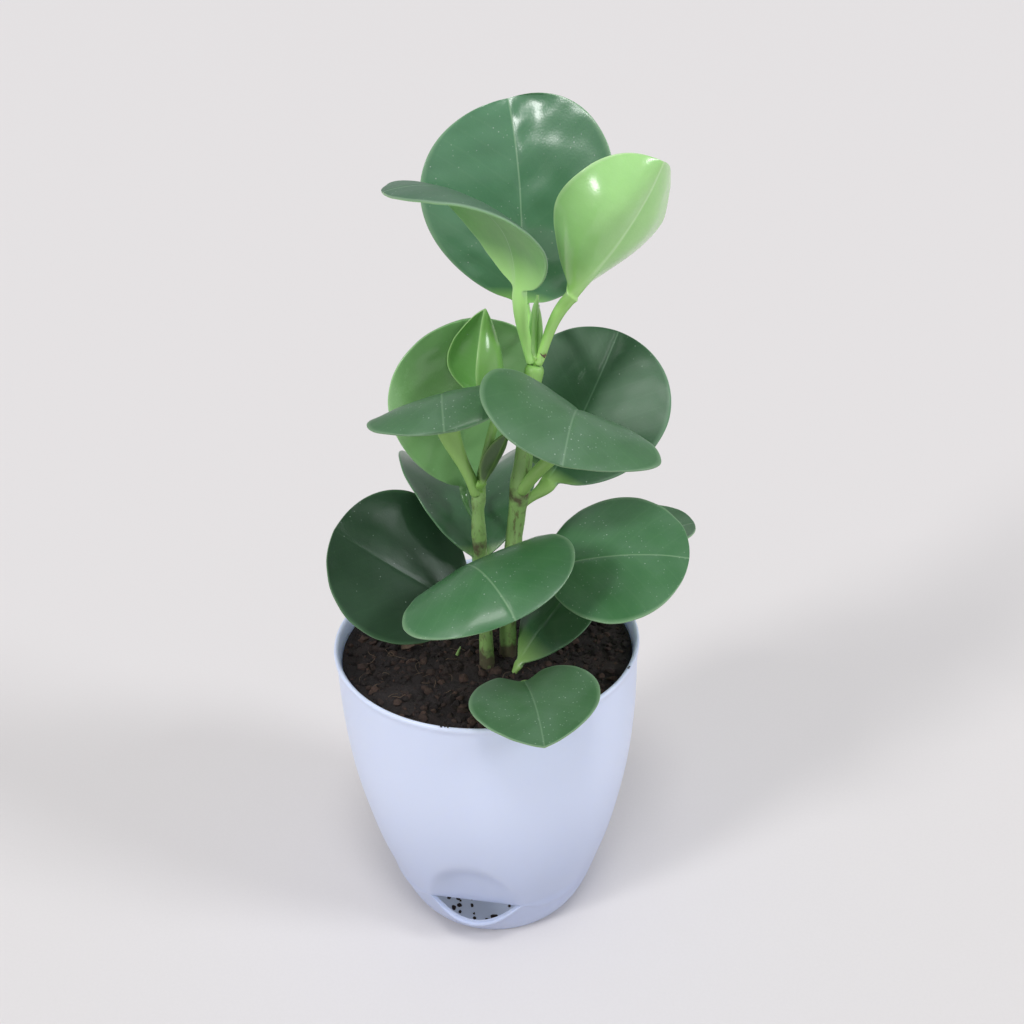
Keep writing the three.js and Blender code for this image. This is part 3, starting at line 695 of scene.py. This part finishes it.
    def mark(vert, i, j):
        kind, _, _, _, half, _, t = rings[j]
        below, s, _ = station(i, j)
        vert[upper] = 0.5 if abs(s) == 1 else (0.0 if below else 1.0)
        vert[stalk] = 1.0 if kind == "stalk" else max(0.0, 1 - t / leaf.get("flush", 0.09))
        vert[margin] = ease(1 - (1 - abs(s)) * half / 1.1) if kind == "blade" else 0.0
        length = leaf["length"]
        along = t * length if kind == "blade" else (t - 1) * span
        vert[flat_uv] = Vector((s * half if kind == "blade" else s * 3, along, 0)) / 100

    tube(bm, place, around, STALK_STEPS + BLADE_STEPS, mark)
    bmesh.ops.recalc_face_normals(bm, faces=bm.faces)
    uv = bm.loops.layers.uv.new("flat_blade")
    for face in bm.faces:
        for loop in face.loops:
            loop[uv].uv = loop.vert[flat_uv][:2]
    bm.verts.layers.float_vector.remove(bm.verts.layers.float_vector["flat"])
    return bm


def leaf_skin(name, top, deep, rib, under, stalk_green, dust, gloss, line, glow=0.05, coat=0.1):
    """Waxy leaf skin, drawn on the flattened blade: one unit of its map is 100 mm of leaf.

    top and deep mottle the upper face, rib draws the midrib and the margin, under is the lower face; dust is
    how much of it lies there, gloss the roughness, line how pale the midrib is, glow the light let through.
    """
    finish, tree = new_finish(name)
    flat = node(tree, "UVMap", uv_map="flat_blade").outputs[0]
    parts = node(tree, "SeparateXYZ", {"Vector": flat})
    upper = node(tree, "Attribute", attribute_name="upper").outputs["Fac"]
    stalk = node(tree, "Attribute", attribute_name="stalk").outputs["Fac"]
    margin = node(tree, "Attribute", attribute_name="margin").outputs["Fac"]
    mottle = node(tree, "TexNoise", {"Vector": flat, "Scale": 7.0, "Detail": 8.0, "Roughness": 0.68})
    flesh = node(tree, "Mix", {0: mottle, 6: paint(deep), 7: paint(top)})
    # side veins: faint arcs that leave the midrib every 7 mm and run on towards the tip
    off = node(tree, "Math", {0: parts.outputs["X"]}, operation="ABSOLUTE")
    arc = node(tree, "Math", {0: off, 1: -0.8, 2: parts.outputs["Y"]}, operation="MULTIPLY_ADD")
    lines = node(tree, "CombineXYZ", {"X": arc, "Y": parts.outputs["X"]})
    wave = node(tree, "TexWave", {"Vector": lines, "Scale": 4.5, "Distortion": 1.2, "Detail": 1.0,
                                  "Detail Scale": 1.0}, bands_direction="X")
    vein = node(tree, "MapRange", {"Value": wave.outputs["Fac"], "From Min": 0.93, "From Max": 1.0,
                                   "To Max": 0.025})
    veined = node(tree, "Mix", {0: vein, 6: flesh, 7: paint(rib)})
    # midrib: a pale line 0.8 mm wide with soft sides
    ribbon = node(tree, "MapRange", {"Value": off, "From Min": 0.0042, "From Max": 0.001, "To Max": line})
    ribbed = node(tree, "Mix", {0: ribbon, 6: veined, 7: paint(rib)})
    # settled dust: flecks 0.2 to 0.5 mm wide, thicker in places, with a greyish bloom where it is thickest
    cells = node(tree, "TexVoronoi", {"Vector": flat, "Scale": 80.0})
    dot = node(tree, "MapRange", {"Value": cells, "From Min": 0.22, "From Max": 0.08})
    chosen = node(tree, "SeparateColor", {"Color": cells.outputs["Color"]})
    pick = node(tree, "MapRange", {"Value": chosen, "From Min": 1.0 - dust, "From Max": 1.0 - dust * 0.6})
    drift = node(tree, "TexNoise", {"Vector": flat, "Scale": 5.0, "Detail": 2.0})
    area = node(tree, "MapRange", {"Value": drift, "From Min": 0.38, "From Max": 0.62})
    fleck = node(tree, "Math", {0: dot, 1: pick}, operation="MULTIPLY")
    fleck = node(tree, "Math", {0: fleck, 1: area}, operation="MULTIPLY")
    bloom = node(tree, "MapRange", {"Value": drift, "From Min": 0.4, "From Max": 0.7, "To Max": 0.3 * dust})
    bloomed = node(tree, "Mix", {0: bloom, 6: ribbed, 7: paint("#8da596")})
    dusty = node(tree, "Mix", {0: fleck, 6: bloomed, 7: paint("#a6b9aa")})
    # underside: paler and more even, without dust
    cloud = node(tree, "MapRange", {"Value": mottle, "From Min": 0.35, "From Max": 0.75, "To Max": 0.3})
    below = node(tree, "Mix", {0: cloud, 6: paint(under), 7: paint(deep)})
    below = node(tree, "Mix", {0: ribbon, 6: below, 7: paint(rib)})
    sides = node(tree, "Mix", {0: upper, 6: below, 7: dusty})
    flare = node(tree, "Mix", {0: stalk, 6: sides, 7: paint(stalk_green)})
    rim = node(tree, "Math", {0: margin, 1: 0.45}, operation="MULTIPLY")
    rimmed = node(tree, "Mix", {0: rim, 6: flare, 7: paint(rib)})
    # the skin's fine grain of 0.6 mm, on swellings of 7 mm
    grain = node(tree, "TexNoise", {"Vector": flat, "Scale": 160.0, "Detail": 3.0})
    swell = node(tree, "TexNoise", {"Vector": flat, "Scale": 14.0, "Detail": 2.0})
    height = node(tree, "Math", {0: swell, 1: 3.0, 2: grain}, operation="MULTIPLY_ADD")
    bump = node(tree, "Bump", {"Height": height, "Strength": 0.35, "Distance": 0.00012})
    worn = node(tree, "MapRange", {"Value": mottle, "To Min": gloss - 0.04, "To Max": gloss + 0.05})
    shader = node(tree, "BsdfPrincipled", {
        "Base Color": rimmed, "Roughness": worn, "Normal": bump, "IOR": 1.45,
        "Coat Weight": coat, "Coat Roughness": 0.16, "Subsurface Weight": glow,
        "Subsurface Radius": (0.0012, 0.002, 0.0006), "Subsurface Scale": 1.0})
    node(tree, "OutputMaterial", {"Surface": shader})
    return finish


# Old leaf skin: hardened and satin, and grey with dust.
MATURE = leaf_skin("waxy_leaf_old", "#4f7b51", "#395e3d", "#8aa987", "#74a060", "#8fb866",
                   dust=0.7, gloss=0.44, line=0.35)
# Old skin in the shelter of other leaves: even, clean and nearly dull.
SMOOTH = leaf_skin("waxy_leaf_smooth", "#3f6a47", "#2f5337", "#7fa585", "#648f5a", "#8fb866",
                   dust=0.05, gloss=0.47, line=0.35, coat=0.05)
# Grown skin in full light: a warmer green, dusty, with a soft shine.
BROAD = leaf_skin("waxy_leaf_green", "#487a4c", "#35643d", "#93b38c", "#74a060", "#8fb866",
                  dust=0.5, gloss=0.37, line=0.4, coat=0.2)
# Clean grown skin: its wax still mirrors the windows.
GLOSSY = leaf_skin("waxy_leaf_glossy", "#426f47", "#305638", "#6f9872", "#648f5a", "#8fb866",
                   dust=0.15, gloss=0.28, line=0.3, coat=0.2)
# The darkest skin, low under the other leaves and painted darker as painted shade: almost bottle green, with
# a faint midrib.
DARK_PAINTED_SHADE = leaf_skin("waxy_leaf_dark_painted_shade", "#2b4c31", "#203a27", "#557c55", "#5c8652", "#8fb866",
                 dust=0.12, gloss=0.42, line=0.1, coat=0.05)
# A thinner leaf, yellow green and glossy, painted lighter still as painted light; its stalk is painted dark
# as painted shade.
YELLOW_PAINTED_LIGHT = leaf_skin("waxy_leaf_yellow_painted_light", "#93c683", "#82b472", "#a4cf96", "#79a565", "#4f7a45",
                   dust=0.05, gloss=0.26, line=0.15, coat=0.4)
# Newly grown skin: blue green, wet-looking, with a pale midrib and a lime stalk.
FRESH = leaf_skin("waxy_leaf_fresh", "#5d8d68", "#4a7a58", "#9fc09c", "#78b463", "#b0e686",
                  dust=0.3, gloss=0.25, line=0.5, coat=0.35)
# The arched leaf of the same age: satin above and bright green below.
FOLDED = leaf_skin("waxy_leaf_folded", "#4c7556", "#3c6046", "#9fc09c", "#6aa953", "#b4ea8a",
                   dust=0.3, gloss=0.45, line=0.5, coat=0.0)
# Young skin: light lime, thin enough for light to glow in it, and very glossy.
YOUNG = leaf_skin("waxy_leaf_young", "#93cb78", "#80b966", "#d2eebc", "#a6d88a", "#aee080",
                  dust=0.02, gloss=0.22, line=0.45, glow=0.12, coat=0.4)
# Skin that has just unrolled: a shade greener, as glossy.
TENDER = leaf_skin("waxy_leaf_tender", "#8cc673", "#78b260", "#b8e098", "#7fb25f", "#9fd070",
                   dust=0.02, gloss=0.24, line=0.3, glow=0.12, coat=0.4)
# The small inner leaf of the front stem: painted dark olive as painted shade, with a yellow-green edge that
# is partly its own colour and partly a painted highlight.
INNER = leaf_skin("waxy_leaf_inner", "#35502b", "#2a4023", "#7da052", "#3f5c2e", "#86b45a",
                  dust=0.05, gloss=0.3, line=0.3, glow=0.1, coat=0.2)

# A leaf's stalk goes from start, in the direction leave, to the blade's base. The blade heads away from there
# (0 is towards -Y), rises by pitch from base to tip, rolls about its length and sweeps round it, in degrees.
# cup curls it across, fold and pinch fold it at the midrib, dome and pucker swell it, lobe makes its base
# heart-shaped, petiole and slim give the stalk's girth, ease is how long it runs in line with the blade, and
# flush is how far its green runs in.
LEAVES = {
    "leaf_top_rear": (FRESH, dict(
        start=(20.9, -0.6, 220.6), leave=(0.1, 0.2, 1), base=(11.54, 22.33, 231.72), heading=202,
        pitch=(111, 59), roll=-25, ease=0.12, length=66, width=63, cup=0.3, fold=6, sweep=9, shoulder=0.68,
        slim=0.85, pucker=0.34)),
    "leaf_top_left": (FOLDED, dict(
        start=(17.6, -3.6, 221), leave=(-0.2, 0, 1), base=(18.5, -14, 247.5), heading=-58, pitch=(94, -14),
        roll=6, length=59, width=65, cup=-0.12, sweep=-3, shoulder=0.63, slim=1.08, flush=0.22)),
    "leaf_top_right": (YOUNG, dict(
        start=(23.7, -4.6, 220.4), leave=(0.4, 0, 1), base=(33.05, -7.23, 244.02), heading=90.54,
        pitch=(45.46, 64.93), roll=-69.77, length=47.23, width=44.5, cup=0.15, fold=23.05, pinch=46.03,
        sweep=31.26, shoulder=0.36, point=0.36, slim=0.95, flush=0.25, dome=-7.0)),
    "leaf_front_young": (TENDER, dict(
        start=(9.3, -7.3, 204.4), leave=(0, 0.3, 1), base=(8.52, -5.54, 208.54), heading=129, pitch=(80, 112),
        roll=0, length=31, width=38, cup=1.8, shoulder=0.45, point=0.7, lobe=1, petiole=1)),
    "leaf_mid_left": (YELLOW_PAINTED_LIGHT, dict(
        start=(0.4, -9.6, 164.5), leave=(-0.4, 1, 0), base=(-6.69, 5.3, 170.69), heading=220.5,
        pitch=(92.87, 104.24), roll=8.42, length=64.01, width=54.83, cup=0.04, fold=2.92, sweep=-17.04,
        shoulder=0.76, slim=0.6, pucker=0.2)),
    "leaf_mid_left_low": (GLOSSY, dict(
        start=(7.2, -4, 141.5), leave=(-0.8, 0.5, 0.2), base=(0, -3, 147), heading=200, pitch=(59, -45),
        roll=2, length=58, width=55.5, cup=0.55, fold=9, shoulder=0.77)),
    "leaf_mid_right": (SMOOTH, dict(
        start=(17.6, -1.2, 170), leave=(0.75, 0.8, 0.7), base=(23.66, 2.29, 176.6), heading=136,
        pitch=(53, 59), roll=17, length=54.5, width=58, cup=-0.06, sweep=5, shoulder=0.62)),
    "leaf_front_left": (MATURE, dict(
        start=(1, -16.9, 178), leave=(-0.1, -0.2, 1), base=(-5.02, -19.77, 207.8), heading=11,
        pitch=(69, -36), roll=12, ease=0.4, length=41, width=47.5, cup=-0.2, sweep=6, shoulder=0.76,
        slim=1.2)),
    "leaf_centre": (MATURE, dict(
        start=(16.6, -10.6, 175), leave=(0.5, -0.3, 1), base=(37.6, -21.2, 210.4), heading=3.34,
        pitch=(47.4, -41.15), roll=-25.21, length=42, width=56, fold=1.67, pinch=9.73, sweep=-5.59,
        shoulder=1.01, point=0.58, slim=1.3)),
    "leaf_front_low": (BROAD, dict(
        start=(-0.2, -14, 136), leave=(-1, 0, 0.4), base=(-4, -20, 149.5), heading=31, pitch=(61, -45),
        roll=14, length=47.5, width=61, cup=-0.05, fold=-4, sweep=16, shoulder=0.81)),
    "leaf_low_right": (BROAD, dict(
        start=(14.2, -6.6, 140), leave=(1, -0.1, 0.3), base=(23, -8, 147.5), heading=96, pitch=(22, -6),
        roll=17, length=49.5, width=57, cup=-0.04, sweep=-5, shoulder=0.55)),
    "leaf_low_right_rear": (MATURE, dict(
        start=(11.4, -2.2, 136), leave=(0.3, 1, 0.1), base=(22, 15, 139.5), heading=101, pitch=(16, 8),
        roll=-5, length=52, width=42, cup=0.24, sweep=5, shoulder=0.68)),
    "leaf_low_left": (DARK_PAINTED_SHADE, dict(
        start=(0.3, -11.9, 128), leave=(-1, 0.5, 0.2), base=(-4, -10, 131), heading=283, pitch=(34, 41),
        roll=-32, length=54.5, width=58, cup=0.14, fold=3, shoulder=0.64)),
    "leaf_ground_right": (GLOSSY, dict(
        start=(12.2, -15, 107.4), leave=(0.4, 0.3, 1), base=(14.3, -13.2, 111.7), heading=127.82,
        pitch=(55.27, 35.67), roll=6.61, length=41.43, width=30.46, cup=-0.08, fold=-1.08, sweep=3.67,
        shoulder=0.88, petiole=1.1, flush=0.3)),
    "leaf_ground_front": (MATURE, dict(
        start=(18.2, -25.6, 106.6), leave=(0, 0, 1), base=(19.02, -27.2, 113.97), heading=22.51,
        pitch=(23.96, -11.22), roll=4.16, ease=0.5, length=40.51, width=43.5, cup=0.2, fold=5.19, pinch=10.31,
        sweep=-5.7, shoulder=0.68, point=0.63, lobe=8, petiole=1.1, flush=0.02)),
    "leaf_inner_young": (INNER, dict(
        start=(4.9, -16.5, 178.8), leave=(0.3, 0.1, 1), base=(5, -16.9, 184.2), heading=108, pitch=(60, 66),
        roll=-55, length=19, width=9, cup=0.5, fold=8, shoulder=0.8, point=0.8, petiole=1.1)),
}

for name, (skin, leaf) in LEAVES.items():
    leaf.setdefault("pucker", 0.14 if skin in (GLOSSY, YELLOW_PAINTED_LIGHT, FRESH) else 0.07)
    blade = settle(leaf_mesh(leaf), name.replace("leaf", "blade"), skin)
    smooth = blade.modifiers.new("smooth", "SUBSURF")
    smooth.levels = smooth.render_levels = 1
    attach(blade, "root")
    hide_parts(name)


# ---------------------------------------------------------------- growing bud
# The next pair of leaves, still rolled into a slim lime-green spike on the top node. Each is a small rolled
# blade that wraps the other one.

BUD = [
    dict(start=(20.6, -3.6, 219.5), leave=(0, 0, 1), base=(20.9, -4.2, 223), heading=100, pitch=(88, 86),
         roll=10, length=20, width=5.6, cup=1.5, fold=8, shoulder=0.5, point=0.8, petiole=0.8,
         wave=0.1, pucker=0),
    dict(start=(20.7, -3.4, 219.5), leave=(0, 0, 1), base=(21.1, -3.1, 223), heading=280, pitch=(92, 94),
         roll=-5, length=16.5, width=5, cup=1.4, fold=8, shoulder=0.5, point=0.8, petiole=0.8,
         wave=0.1, pucker=0),
]
for number, leaf in enumerate(BUD):
    sheath = settle(leaf_mesh(leaf), f"bud_leaf_{number + 1}", TENDER)
    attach(sheath, "root")
    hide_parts("bud_top")


# ---------------------------------------------------------------- litter on the mix
# What lies loose on top: dry root fibres, two curled flakes of husk, the scrap of an old stipule on the top
# node, and one green sprout. They are light enough to rest on the crumbs.

FIBRES, FIBRE_REACH = 60, 44

# Dry root fibre and husk: dull straw brown, darker where it is damp.
fibre_skin, tree = new_finish("dry_root_fibre")
place = node(tree, "TexCoord").outputs["Object"]
rub = node(tree, "TexNoise", {"Vector": place, "Scale": 500.0, "Detail": 3.0})
tone = node(tree, "Mix", {0: rub, 6: paint("#3b3029"), 7: paint("#75624f")})
shader = node(tree, "BsdfPrincipled", {"Base Color": tone, "Roughness": 0.85})
node(tree, "OutputMaterial", {"Surface": shader})

dice = random.Random(17)
bm = bmesh.new()
spots = [(-36, -24), (-40, -18), (-31, -29), (-30, -24), (-24, -34), (24, -34), (28, -30), (-42, -10)]
for number in range(FIBRES):
    x, y = spots[number] if number < len(spots) else (dice.uniform(-36, 36), dice.uniform(-42, 20))
    if math.hypot(x, y) > FIBRE_REACH:
        continue
    turn, curl, length = dice.uniform(0, 6.28), dice.uniform(-0.35, 0.35), dice.uniform(3, 8)
    path, steps = [Vector((x, y, 0))], 9
    for k in range(steps):
        turn += curl + dice.uniform(-0.25, 0.25)
        path.append(path[-1] + Vector((math.cos(turn), math.sin(turn), 0)) * length / steps)
    lift = dice.uniform(0.3, 1.4)
    for k, point in enumerate(path):
        point.z = soil_height(point.x, point.y) + 0.3 + lift * math.sin(math.pi * k / steps)
    thick = dice.uniform(0.07, 0.13)

    def round_thread(i, j):
        ahead = (path[min(steps, j + 1)] - path[max(0, j - 1)]).normalized()
        across = ahead.cross(UP).normalized()
        angle = 2 * math.pi * i / 5
        return path[j] + (across * math.cos(angle) + across.cross(ahead) * math.sin(angle)) * thick

    tube(bm, round_thread, 5, steps)
# the flakes: place, length and turn
for x, y, z, size, turn in [(-26, -7.6, 111.6, 8, 0.3), (1.2, -7.6, 112.4, 5, 1.2),
                            (23.6, -5.2, 224.4, 3.4, 2.0)]:
    flake = bmesh.ops.create_grid(bm, x_segments=8, y_segments=3, size=1)["verts"]
    for vert in flake:
        u, v = vert.co.x, vert.co.y
        wide = 0.28 * size * (1 - 0.7 * u * u)
        bend = Vector((u * size / 2, v * wide, 0.16 * size * (v * v - u * u) + 0.1 * size * math.sin(3 * u)))
        vert.co = Matrix.Rotation(turn, 3, "Z") @ bend + Vector((x, y, z))
    bmesh.ops.solidify(bm, geom=flake + list({f for v in flake for f in v.link_faces}), thickness=0.25)
bmesh.ops.recalc_face_normals(bm, faces=bm.faces)
litter = settle(bm, "root_fibres", fibre_skin)
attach(litter, "root")


# The sprout is a fleshy cone of 5 mm that leans as it grows.
def sprout_point(i, j):
    turn, thick = i * math.pi / 4, 0.9 - 0.12 * j
    return Vector((-9.5 + 0.3 * j + thick * math.cos(turn), -8.9 + thick * math.sin(turn), 109 + 0.8 * j))


bm = bmesh.new()
tube(bm, sprout_point, 8, 6)
bmesh.ops.recalc_face_normals(bm, faces=bm.faces)
sprout = settle(bm, "green_sprout", stem_skin)
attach(sprout, "root")
